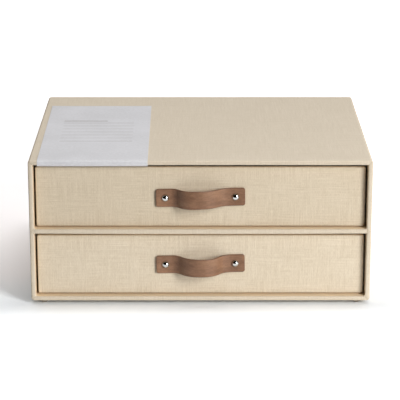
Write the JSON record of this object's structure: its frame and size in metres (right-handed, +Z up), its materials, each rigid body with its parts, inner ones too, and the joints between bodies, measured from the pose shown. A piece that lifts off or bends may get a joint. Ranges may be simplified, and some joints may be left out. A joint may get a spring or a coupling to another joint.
{
  "type": "file box with drawers",
  "caption": "Linen-covered desk file box: an open-fronted board case on bumper feet with stacked paper drawers, each pulled out by a bowed leather strap on dome studs.",
  "frame": {"origin": "under the middle of the whole object, on the surface that its feet stand on", "axes": "+X to the right seen from the front, +Y to the back (the drawers open towards -Y), +Z up"},
  "size_m": [0.335, 0.2702, 0.1478],
  "materials": {
    "greyboard": "solid grey bookbinding board",
    "case_linen": "oatmeal linen book-cloth, plain weave with slubs",
    "drawer_linen": "oatmeal linen book-cloth, plain weave with slubs",
    "lining_paper": "matt ivory lining paper",
    "band_paper": "pale grey-white uncoated paper",
    "pull_leather": "taupe-brown smooth leather, burnished edges",
    "polished_steel": "polished",
    "screw_steel": "nickel plated",
    "clear_bumper": "translucent soft bumper"
  },
  "bodies": {
    "case": {"back_board": "greyboard", "back_linen": "case_linen", "bottom_board": "greyboard", "bumper_feet": "clear_bumper", "left_side_board": "greyboard", "lower_lining": "lining_paper", "outer_linen": "case_linen", "paper_band": "band_paper", "right_side_board": "greyboard", "shelf_board": "greyboard", "shelf_linen": "case_linen", "top_board": "greyboard", "upper_lining": "lining_paper"},
    "upper_drawer": {"upper_front_board": "greyboard", "upper_front_linen": "drawer_linen", "upper_strap": "pull_leather", "upper_stud_posts": "polished_steel", "upper_stud_screws": "screw_steel", "upper_tray_back_wall": "greyboard", "upper_tray_floor": "greyboard", "upper_tray_front_wall": "greyboard", "upper_tray_left_wall": "greyboard", "upper_tray_lining": "lining_paper", "upper_tray_right_wall": "greyboard", "upper_tray_wrap": "drawer_linen"},
    "lower_drawer": {"lower_front_board": "greyboard", "lower_front_linen": "drawer_linen", "lower_strap": "pull_leather", "lower_stud_posts": "polished_steel", "lower_stud_screws": "screw_steel", "lower_tray_back_wall": "greyboard", "lower_tray_floor": "greyboard", "lower_tray_front_wall": "greyboard", "lower_tray_left_wall": "greyboard", "lower_tray_lining": "lining_paper", "lower_tray_right_wall": "greyboard", "lower_tray_wrap": "drawer_linen"}
  },
  "joints": [
    {"name": "upper_drawer_slide", "type": "slide", "parent": "case", "child": "upper_drawer", "axis": [0, -1, 0], "range_m": [0, 0.22]},
    {"name": "lower_drawer_slide", "type": "slide", "parent": "case", "child": "lower_drawer", "axis": [0, -1, 0], "range_m": [0, 0.22]}
  ]
}
